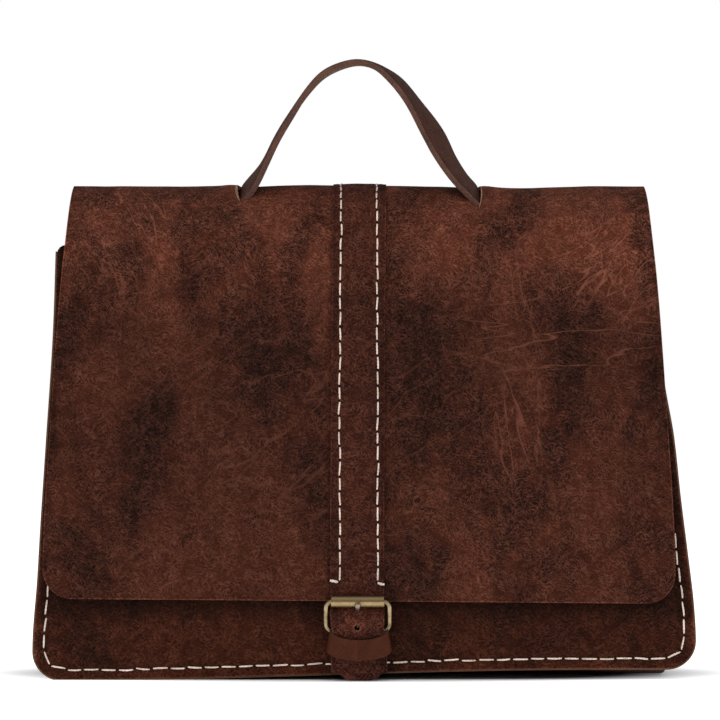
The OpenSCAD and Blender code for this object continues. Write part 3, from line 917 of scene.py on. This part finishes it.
def build_strap():
    """The strap with two buckle holes: one for the prong and one below it."""
    near = round_rows(TIP_CORNER, 11)
    hole_s = [strap_run(z) for _, z, _ in HOLES]
    dense = np.arange(min(hole_s) - 4, max(hole_s) + 4, 0.55)
    rows = np.concatenate([
        near, np.arange(near[-1] + 1.4, dense[0] - 0.8, 1.4), dense,
        np.linspace(dense[-1] + 1.6, strap.length, 290),
    ])
    share = np.concatenate([
        np.linspace(-1, -0.24, 14)[:-1], np.linspace(-0.24, 0.2, 15), np.linspace(0.2, 1, 14)[1:],
    ])
    run, part = np.meshgrid(rows, share, indexing="ij")
    x = part * half_width(part, run, strap_edge)
    keep = np.ones((len(rows) - 1, len(share) - 1), bool)
    for (hx, _, radius), hs in zip(HOLES, hole_s):
        x, run = punch(x, run, keep, hx, hs, radius)
    margin = step(np.abs(x), 12.6, 13.6)
    # The factor that peaks 30 mm before the crest is a painted sheen from the light above.
    tone = (1 - 0.22 * margin) * (1 + 0.2 * bump(run, strap_join + crest_run - 30, 40))
    tone *= 1 + 0.35 * (1 - step(run, strap_join - 8, strap_join))
    tone *= 1 + 0.18 * bump(run, hole_s[1] + 1, 9)
    from_hole = np.hypot(x - HOLES[1][0], run - hole_s[1])
    tone += 0.9 * bump(from_hole, HOLES[1][2] + 0.5, 0.5)
    rim = np.minimum(half_width(x, run, strap_edge) - np.abs(x), run)
    tone *= 0.75 + 0.25 * step(rim, 0.2, 1.2) + 1.0 * (1 - step(rim, 0.0, 0.5))
    obj = sheet_object("strap", strap_point(x, run), np.stack([x, run], -1), TAIL,
                       (strap_leather, edge_tan, suede), tone, keep, bevel=0.35)
    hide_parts("flap_strap", "strap_tail", "back_strap")
    return obj


# ---- stitches ----

STRAP_PITCH = 9.1
SEAM_PITCH = 10.4
# A thread's rings and sides, how deep its ends dive and how far its middle stands up.
RINGS = 15
SIDES = 12
DIP = 1.1
STAND = 0.34


def threads(starts, ends, normals, seed, width=THREAD):
    """Points and faces of short waxed two-ply threads, each diving into a hole at both ends."""
    rng = np.random.default_rng(seed)
    count = len(starts)
    along = ends - starts
    length = np.linalg.norm(along, axis=1, keepdims=True)
    tangent = along / length
    side = unit(np.cross(tangent, normals))
    up = np.cross(side, tangent)
    t = np.linspace(0, 1, RINGS)
    arch = np.sin(math.pi * t) ** 0.3
    lift = (-DIP + (DIP + STAND) * arch)[None, :] + rng.uniform(-0.06, 0.08, (count, 1)) * arch
    slack = rng.normal(0, 0.12, (count, 1)) * np.sin(math.pi * t)[None, :]
    middle = (
        starts[:, None] + along[:, None] * t[None, :, None]
        + up[:, None] * lift[..., None] + side[:, None] * slack[..., None]
    )
    a = np.linspace(0, 2 * math.pi, SIDES, endpoint=False)
    twist = rng.uniform(0, 6, (count, 1, 1)) + t[None, :, None] * length[:, None] * 1.5
    ply = width * (1 + 0.13 * np.cos(2 * (a[None, None, :] - twist)))
    taper = (0.72 + 0.28 * np.sin(math.pi * t) ** 0.5)[None, :, None]
    r = ply * taper * rng.uniform(0.93, 1.07, (count, 1, 1))
    ring = (
        side[:, None, None] * (r * np.cos(a))[..., None]
        + up[:, None, None] * (0.78 * r * np.sin(a))[..., None]
    )
    points = (middle[:, :, None] + ring).reshape(count, -1, 3)
    tube = tube_faces(RINGS, SIDES)
    firsts = np.arange(count) * RINGS * SIDES
    faces = [[i + first for i in face[::-1]] for first in firsts.tolist() for face in tube]
    return points.reshape(-1, 3), faces


def holes(places, normals, tangents, seed):
    """Small needle holes, dark with painted shade: shallow lens shapes sunk in the leather."""
    rng = np.random.default_rng(seed)
    side = np.cross(tangents, normals)
    around, rings = 10, 4
    a = np.linspace(0, 2 * math.pi, around, endpoint=False)
    tilt = np.linspace(0, math.pi, rings + 2)[1:-1]
    size = rng.uniform(0.85, 1.15, len(places))
    points, faces = [], []
    for k, place in enumerate(places):
        base = len(points)
        points.append(place + normals[k] * 0.10)
        for b in tilt:
            for c in a:
                flat = tangents[k] * 0.95 * math.cos(c) + side[k] * 0.72 * math.sin(c)
                points.append(place + size[k] * (math.sin(b) * flat) + normals[k] * 0.10 * math.cos(b))
        points.append(place - normals[k] * 0.10)
        last = len(points) - 1
        for i in range(around):
            j = (i + 1) % around
            faces.append((base, base + 1 + j, base + 1 + i))
            for ring in range(rings - 1):
                p, q = base + 1 + ring * around, base + 1 + (ring + 1) * around
                faces.append((p + i, p + j, q + j, q + i))
            faces.append((last, last - around + i, last - around + j))
    return np.array(points), faces


def stitch_object(name, runs, seed, width=THREAD, wander=0.28):
    """One object for several runs of stitches. A run is its hole places and their normals."""
    rng = np.random.default_rng(seed)
    starts, ends, outs, hole_at, hole_out, hole_dir = [], [], [], [], [], []
    for places, normals in runs:
        direction = unit(np.diff(places, axis=0))
        out = (normals[:-1] + normals[1:]) / 2
        aside = np.cross(direction, out)
        gap = rng.uniform(0.15, 0.40, (len(direction), 2))
        drift = rng.normal(0, wander, (len(direction), 2))
        starts.append(places[:-1] + direction * gap[:, :1] + aside * drift[:, :1])
        ends.append(places[1:] - direction * gap[:, 1:] + aside * drift[:, 1:])
        outs.append(out)
        hole_at.append(places)
        hole_out.append(normals)
        hole_dir.append(np.concatenate([direction, direction[-1:]]))
    outs = unit(np.concatenate(outs))
    points, faces = threads(np.concatenate(starts), np.concatenate(ends), outs, seed, width)
    h_points, h_faces = holes(np.concatenate(hole_at), np.concatenate(hole_out),
                              np.concatenate(hole_dir), seed)
    shifted = [[i + len(points) for i in face] for face in h_faces]
    kinds = np.repeat([0, 1], [len(faces), len(shifted)])
    # The threads get the thread material, the holes the near-black painted shade.
    obj = solid_object(name, np.concatenate([points, h_points]), faces + shifted, thread, hole_painted_shade,
                       kinds=kinds)
    return obj


def surface_normals(point_at, u, v):
    """Unit normals of a surface given as a function of two coordinates, by small differences."""
    d = 0.4
    du = point_at(u + d, v) - point_at(u - d, v)
    dv = point_at(u, v + d) - point_at(u, v - d)
    return unit(np.cross(du, dv))


def seam_places(front):
    """Needle holes along a panel's seam, a fixed distance inside its edge, in X and Z."""
    edge = outline(front, 900)
    line = edge + inward(edge) * SEAM_IN
    s = run_length(line)
    line, s = line[s > 3.0], s[s > 3.0]
    count = int((s[-1] - s[0]) / SEAM_PITCH)
    even = s[0] + np.arange(count + 1) * SEAM_PITCH
    even += np.random.default_rng(5).normal(0, 0.3, len(even))
    return read_line(line, s, even)


def build_seams():
    """The stitches along the front panel's edge and along the back panel's edge."""
    xz = seam_places(True)
    x, z = xz[:, 0], xz[:, 1]
    normals = surface_normals(panel_point, x, z)
    front = stitch_object("front_seam", [(panel_point(x, z), normals)], 51)
    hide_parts("front_seam_stitches")
    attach(front, "bag")
    xz = seam_places(False)
    x, s = xz[:, 0], cover.length - xz[:, 1] * math.hypot(1, lean)
    normals = surface_normals(cover_point, x, s)
    back = stitch_object("back_seam", [(cover_point(x, s), normals)], 52)
    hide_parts("back_seam_stitches")
    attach(back, "bag")


# Each lock stitch: its side, its near and far ends and its rise.
LOCKS = ((-1, 12.2, 18.2, 0.9), (1, 10.8, 15.9, -1.7))


def build_strap_stitches():
    """Two rows along the strap, each locked by a sideways stitch over the strap's edge."""
    first = strap_run(60.0)
    runs = []
    for side in (-1, 1):
        s = np.arange(first, strap.length - 8, STRAP_PITCH)
        s = s + np.random.default_rng(60 + side).normal(0, 0.3, len(s))
        s[0] = first
        wander = 0.55 * soft_noise(s, s * 0, 60, 61 + side)
        x = side * STRAP_ROW + wander - 0.35 * (1 - step(s, first, 250))
        runs.append((strap_point(x, s), surface_normals(strap_point, x, s)))
    stitches = stitch_object("strap_stitches", runs, 53)
    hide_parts("flap_strap_stitches", "back_strap_stitches")
    locks = []
    for side, near, far, rise in LOCKS:
        x = np.array([side * near, side * far])
        s = np.array([first - 0.6, first - 0.2 + rise])
        places = strap_point(x, s, 0.25)
        locks.append((places, surface_normals(strap_point, x, s)))
    locked = stitch_object("lock_stitches", locks, 54, 1.5 * THREAD, 0.05)
    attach(locked, "flap")
    return stitches


# ---- buckle holder, keeper ----

CHAPE_HALF = 16.9
HOLDER_ROW = 11.4
HOLDER_STITCHES = (7.5, 12.5, 17.5, 22.5)
PRONG_SLOT_HALF = 3.1


def build_chape():
    """A folded strap: its loop goes round the buckle's heel bar, its ends are sewn to the panel."""
    radius = 1.6 + CHAPE
    z = np.linspace(4.8, heel_z - 3.5, 14)
    a = np.linspace(math.pi, 0, 19)
    front_y = heel_y - CHAPE - 0.15
    front = np.stack([np.full(14, front_y), z], 1)
    over = np.stack([heel_y + radius * np.cos(a), heel_z + radius * np.sin(a)], 1)
    behind = np.stack([np.full(14, heel_y + CHAPE + 0.05), z[::-1]], 1)
    line = Path(np.concatenate([front, over, behind]))
    run, part = np.meshgrid(np.linspace(0, line.length, 60), np.linspace(-1, 1, 27), indexing="ij")
    y, z = line.at(run)
    half = CHAPE_HALF - 1.7 * step(z, heel_z - 8, heel_z - 3)
    px = part * half
    slot = np.abs(px[:-1, :-1] + px[1:, 1:]) / 2 < PRONG_SLOT_HALF
    keep = ~(slot & (z[:-1, :-1] > heel_z - 3.6))
    points = np.stack([px, y, z], -1)
    obj = sheet_object("buckle_holder", points, np.stack([px, run + 900], -1), CHAPE,
                       (strap_leather, edge_tan, suede), keep=keep, bevel=0.3)
    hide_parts("buckle_chape")
    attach(obj, "bag")
    outward = np.tile([0.0, -1.0, 0.0], (len(HOLDER_STITCHES), 1))
    runs = [
        (np.array([(side * HOLDER_ROW, front_y, height) for height in HOLDER_STITCHES]), outward)
        for side in (-1, 1)
    ]
    sewn = stitch_object("holder_stitches", runs, 55)
    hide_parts("chape_stitches")
    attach(sewn, "bag")


KEEPER_HALF = 6.2


def build_keeper():
    """A soft loop round strap and holder: its front sags and flares below the sides."""
    spots = np.array([
        (0, -59.4, 19.2), (9.5, -59.2, 20.0), (15.6, -58.2, 21.9), (18.4, -55.9, 23.6),
        (18.9, -52.6, 24.4), (18.4, -49.3, 24.4), (15.6, -47.35, 24.4), (0, -47.25, 24.4),
    ])
    mirror = spots[-2:0:-1] * np.array([-1, 1, 1])
    loop = np.concatenate([spots, mirror])
    wrapped = np.concatenate([loop[-2:], loop, loop[:3]])
    s = run_length(wrapped)
    even = np.linspace(s[2], s[2 + len(loop)], 121)[:-1]
    line = curve(even, s, wrapped)
    part = np.repeat(np.linspace(-1, 1, 13)[:, None], len(even), 1)
    flare = 1 - 0.06 * part
    bow = 0.45 * (1 - part ** 2)
    front = step(-line[None, :, 1], 50, 58)
    x = line[None, :, 0] * flare
    y = line[None, :, 1] - bow * front - 0.5 * front * (1 - part) * 0.6
    z = line[None, :, 2] + KEEPER_HALF * part
    points = np.stack([x, y, z], -1)
    cut = np.stack([np.tile(even, (13, 1)) + 500, KEEPER_HALF * part], -1)
    obj = sheet_object("keeper", points, cut, KEEPER, (keeper_leather, edge_dark, suede),
                       closed=True, bevel=0.3)
    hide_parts("keeper_loop")
    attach(obj, "keeper")


# ---- handle ----

# The handle's front and back edges in X and Z: the right leg is turned outwards.
FRONT_EDGE = (
    (-93, 281.5), (-80, 281.5), (-73.4, 283.5), (-71.2, 290), (-64.0, 299.0), (-57.1, 313.6),
    (-50.2, 328.0), (-42.9, 340.6), (-31.4, 358.9), (-20.1, 370.4), (-4.4, 376.4), (8.6, 374.2),
    (17.6, 367.2), (27.4, 355.0), (39.2, 333.2), (46.8, 319.6), (57.6, 304.4), (72.2, 288.6),
    (73.4, 282.0), (80, 279.5), (93, 279.5),
)
BACK_EDGE = (
    (-93, 287), (-80, 287), (-73.8, 289), (-72.3, 296), (-71.2, 301.6), (-59.6, 315.0),
    (-51.6, 331.2), (-43.6, 344.4), (-31.0, 361.6), (-19.8, 371.8), (-4.0, 378.2), (9.0, 376.8),
    (24.0, 368.8), (37.8, 352.8), (50.9, 336.0), (58.6, 320.4), (65.5, 309.0), (71.8, 301.0),
    (73.2, 293.0), (80, 288.0), (93, 288.0),
)


def build_handle():
    """The handle and both of its ends, as one sheet that goes down through the slits."""
    marks = np.arange(len(FRONT_EDGE), dtype=float)
    t = np.linspace(0, marks[-1], 210)
    front, back = curve(t, marks, FRONT_EDGE), curve(t, marks, BACK_EDGE)
    y_front = curve(t, [0, 4, 10, 16, 17, 20], [-27.0, -27.0, -24.5, -29.0, -32.0, -32.0])
    y_back = curve(t, [0, 4, 10, 14, 16, 20], [4.5, 4.5, 5.0, 2.5, 3.0, 4.0])
    q = np.linspace(0, 1, 17)
    middle = (front + back) / 2
    y = y_front[:, None] * (1 - q) + y_back[:, None] * q
    run = np.tile(run_length(middle)[:, None], (1, len(q)))
    arch = 0.5 * (1 - (2 * q - 1) ** 2)
    out = arch + HANDLE / 2 + 0.35 * soft_noise(run, y, 18, 71)
    q3 = q[None, :, None]
    xz = front[:, None] * (1 - q3) + back[:, None] * q3 + inward(middle)[:, None] * out[..., None]
    points = np.stack([xz[..., 0], y, xz[..., 1]], -1)
    cut = np.stack([y, run + 1500], -1)
    rim = np.minimum(q, 1 - q)[None, :] * 30
    tone = (0.8 + 0.2 * step(rim, 0.3, 2.0)) * np.ones_like(run)
    obj = sheet_object("handle", points[::-1], cut[::-1], HANDLE,
                       (handle_leather, edge_brown, suede), tone[::-1], bevel=0.5)
    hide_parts("handle_strap", "handle_root_left", "handle_root_right")
    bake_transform(obj)


# ---- metal ----

def swept(name, centres, side, across, deep, material, closed=False, square=2.0, sides=20):
    """A bar along a line of points. side is a direction across it; square 2 is round, 4 squarish."""
    centres = np.asarray(centres, float)
    if closed:
        tangent = np.roll(centres, -1, 0) - np.roll(centres, 1, 0)
    else:
        tangent = np.gradient(centres, axis=0)
    tangent = unit(tangent)
    first = np.tile(np.asarray(side, float), (len(centres), 1))
    first = unit(first - tangent * np.sum(first * tangent, axis=1, keepdims=True))
    second = np.cross(tangent, first)
    a = np.linspace(0, 2 * math.pi, sides, endpoint=False)
    c = np.sign(np.cos(a)) * np.abs(np.cos(a)) ** (2 / square)
    d = np.sign(np.sin(a)) * np.abs(np.sin(a)) ** (2 / square)
    across = np.broadcast_to(across, len(centres))[:, None, None]
    deep = np.broadcast_to(deep, len(centres))[:, None, None]
    rings = (
        centres[:, None] + first[:, None] * across * c[None, :, None]
        + second[:, None] * deep * d[None, :, None]
    )
    return solid_object(name, rings.reshape(-1, 3), tube_faces(len(centres), sides, closed), material)


def build_slit_edges():
    """The raw cut edge of the leather, turned up beside each handle end."""
    for side, name, wide, tall in ((-1, "left_slit_edge", 0.85, 0.8), (1, "right_slit_edge", 0.4, 0.6)):
        s0, s1 = slit_ends(side)
        t = np.linspace(-0.97, 0.45, 30)
        x = side * (SLIT_X + SLIT_HALF * (1 - np.abs(t) ** 3) + 0.35 * wide)
        run = (s0 + s1) / 2 + t * (s1 - s0) / 2
        shape = np.sqrt(np.clip(1 - np.linspace(-0.98, 0.98, 30) ** 2, 0, 1))
        rough = 1 + 0.15 * soft_noise(run, run * 0, 2.5, 81 + side)
        edge = swept(name, cover_point(x, run, -0.2), (1, 0, 0), wide * shape * rough,
                     tall * shape * rough, slit_tan)
        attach(edge, "flap")


def rounded_loop(half_wide, low, high, low_radius, high_radius, count=14):
    """A closed rounded rectangle in its own plane, from the bottom right corner round."""
    corners = (
        (half_wide - low_radius, low + low_radius, low_radius, -90),
        (half_wide - high_radius, high - high_radius, high_radius, 0),
        (-half_wide + high_radius, high - high_radius, high_radius, 90),
        (-half_wide + low_radius, low + low_radius, low_radius, 180),
    )
    points = []
    for x, y, radius, start in corners:
        for degrees in np.linspace(start, start + 90, count):
            a = math.radians(degrees)
            points.append((x + radius * math.cos(a), y + radius * math.sin(a)))
    return np.array(points)


FRAME_HALF = 19.2
ROLLER_HALF = 16.1
HOOK_RADIUS = 2.3


def build_buckle():
    """The frame bent from square bar, its roller and the prong hooked round the heel bar."""
    brass = old_brass("antique_brass", (0.38, 0.29, 0.165), (0.15, 0.10, 0.05), 0.36)
    # The roller's brass carries a painted reflection of the dark studio on its upper half.
    roller_with_reflection = old_brass("roller_brass", (0.40, 0.29, 0.145), (0.30, 0.215, 0.11), 0.5, True)
    prong_face = old_brass("prong_brass", (0.34, 0.27, 0.21), (0.14, 0.09, 0.06), 0.4)
    heel = np.array([buckle_x, heel_y, heel_z])
    front = np.array([buckle_x, roller_y, roller_z])
    sideways = np.array([1.0, 0, 0])
    up = unit(front - heel)
    reach = float(np.linalg.norm(front - heel))
    loop = rounded_loop(FRAME_HALF, 0.0, reach, 5.2, 4.0)
    centres = heel + loop[:, :1] * sideways + loop[:, 1:] * up
    normal = np.cross(sideways, up)
    frame_bar = swept("buckle_bar", centres, normal, 1.25, 1.35, brass, closed=True, square=3.0)
    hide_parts("buckle_frame")
    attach(frame_bar, "buckle")

    edge = ROLLER_HALF - np.array([0, 0.12, 0.4])
    ends = np.concatenate([-edge, np.linspace(1 - ROLLER_HALF, ROLLER_HALF - 1, 12), edge[::-1]])
    radius = np.full(len(ends), ROLLER_RADIUS)
    radius[[0, -1]] -= 0.35
    radius[[1, -2]] -= 0.12
    line = front + ends[:, None] * sideways
    tube = swept("roller_tube", line, (0, 0, 1), radius, radius, roller_with_reflection, sides=48)
    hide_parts("buckle_roller")
    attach(tube, "roller")

    a = np.radians(np.linspace(-60, 200, 22))
    hook = np.stack([heel_y + HOOK_RADIUS * np.cos(a), heel_z + HOOK_RADIUS * np.sin(a)], 1)
    rise = np.array([
        (heel_y - 1.9, heel_z + 2.6), (heel_y - 1.3, heel_z + 5.2), (-52.4, 37.5), (-53.2, 40.0),
        (-54.9, 42.0), (-57.0, 43.6), (-58.9, 45.2), (-59.75, 46.9), (-59.95, 48.1),
    ])
    path = np.concatenate([hook[:-7], rise])
    s = run_length(path)
    even = np.linspace(0, s[-1], 70)
    path = curve(even, s, path)
    marks = [0, 0.7, 0.86, 0.97, 1.0]
    wide = curve(even / s[-1], marks, [1.15, 1.15, 1.6, 1.35, 0.7])
    deep = curve(even / s[-1], marks, [0.8, 0.8, 0.85, 0.8, 0.5])
    centres = np.stack([np.full(70, buckle_x), path[:, 0], path[:, 1]], 1)
    tongue = swept("prong_tongue", centres, (1, 0, 0), wide, deep, prong_face, square=2.6)
    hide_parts("buckle_prong")
    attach(tongue, "prong")


# ---- studio ----

def area_light(name, place, aim, size, energy):
    """A rectangular light at a place, turned towards the point that it aims at."""
    data = bpy.data.lights.new(name, "AREA")
    data.shape = "RECTANGLE"
    data.size, data.size_y = size
    data.energy = energy
    light = new_object(name, data)
    light.location = place
    light.rotation_euler = (Vector(aim) - Vector(place)).to_track_quat("-Z", "Y").to_euler()


FLOOR_HALF = 6.0


def build_studio():
    """A white room: camera, light from all round, a paper floor lit from within except for a painted
    contact shadow under the bag, and lamps.
    """
    scene = bpy.context.scene
    scene.view_settings.view_transform = "Standard"
    data = bpy.data.cameras.new("camera")
    data.sensor_width = 36.0
    data.lens = 165.0
    camera = new_object("camera", data)
    camera.location = (0.0006, -2.047, 0.194)
    camera.rotation_euler = (math.pi / 2, 0, 0)
    scene.camera = camera

    world = bpy.data.worlds.new("studio")
    scene.world = world
    world.use_nodes = True
    nodes, links = world.node_tree.nodes, world.node_tree.links
    backdrop, fill = nodes["Background"], nodes.new("ShaderNodeBackground")
    backdrop.inputs["Color"].default_value = (1, 1, 1, 1)
    backdrop.inputs["Strength"].default_value = 1.0
    fill.inputs["Color"].default_value = (0.94, 0.97, 1.0, 1)
    fill.inputs["Strength"].default_value = 0.24
    seen = nodes.new("ShaderNodeLightPath")
    mix = nodes.new("ShaderNodeMixShader")
    links.new(seen.outputs["Is Camera Ray"], mix.inputs[0])
    links.new(fill.outputs[0], mix.inputs[1])
    links.new(backdrop.outputs[0], mix.inputs[2])
    links.new(mix.outputs[0], nodes["World Output"].inputs["Surface"])

    floor_mesh = bpy.data.meshes.new("floor")
    r = FLOOR_HALF
    floor_mesh.from_pydata([(-r, -r, 0), (r, -r, 0), (r, r, 0), (-r, r, 0)], [], [(0, 1, 2, 3)])
    floor = new_object("floor", floor_mesh)
    n = Nodes("floor_paper")
    place = n.place()
    tooth = n.noise(place, 40.0, 3.0)
    colour = n.mix(tooth, (0.90, 0.90, 0.90), (0.93, 0.93, 0.93))
    # Painted contact shadow: the floor's glow is nothing over the bag's footprint and rises to full beyond
    # it.
    flat = n.add("VectorMath", {0: n.scaled(place, (1 / 0.215, 1 / 0.06, 0.0))}, operation="LENGTH")
    glow_with_painted_shadow = n.span(flat.outputs["Value"], 0.75, 1.25)
    floor_mesh.materials.append(n.finish(
        Base_Color=colour, Roughness=0.95, Specular_IOR_Level=0.1,
        Emission_Color=(1.0, 1.0, 1.0), Emission_Strength=n.math("MULTIPLY", glow_with_painted_shadow, 0.9),
    ))

    area_light("overhead", (0.0, -0.7, 2.1), (0, 0, 0.1), (2.8, 2.2), 27)
    area_light("key", (-1.4, -1.9, 1.5), (0, 0, 0.18), (1.1, 1.1), 8)
    area_light("fill", (1.6, -1.7, 1.1), (0, 0, 0.18), (1.1, 1.1), 5)


# ---- assembly ----

build_studio()
sheet = build_cover()
build_front_panel()
build_gusset()
belt = build_strap()
rows = build_strap_stitches()
build_seams()
build_chape()
build_keeper()
build_handle()
build_buckle()
build_slit_edges()

bend_at_hinge(sheet)
bend_at_hinge(belt)
bend_at_hinge(rows)
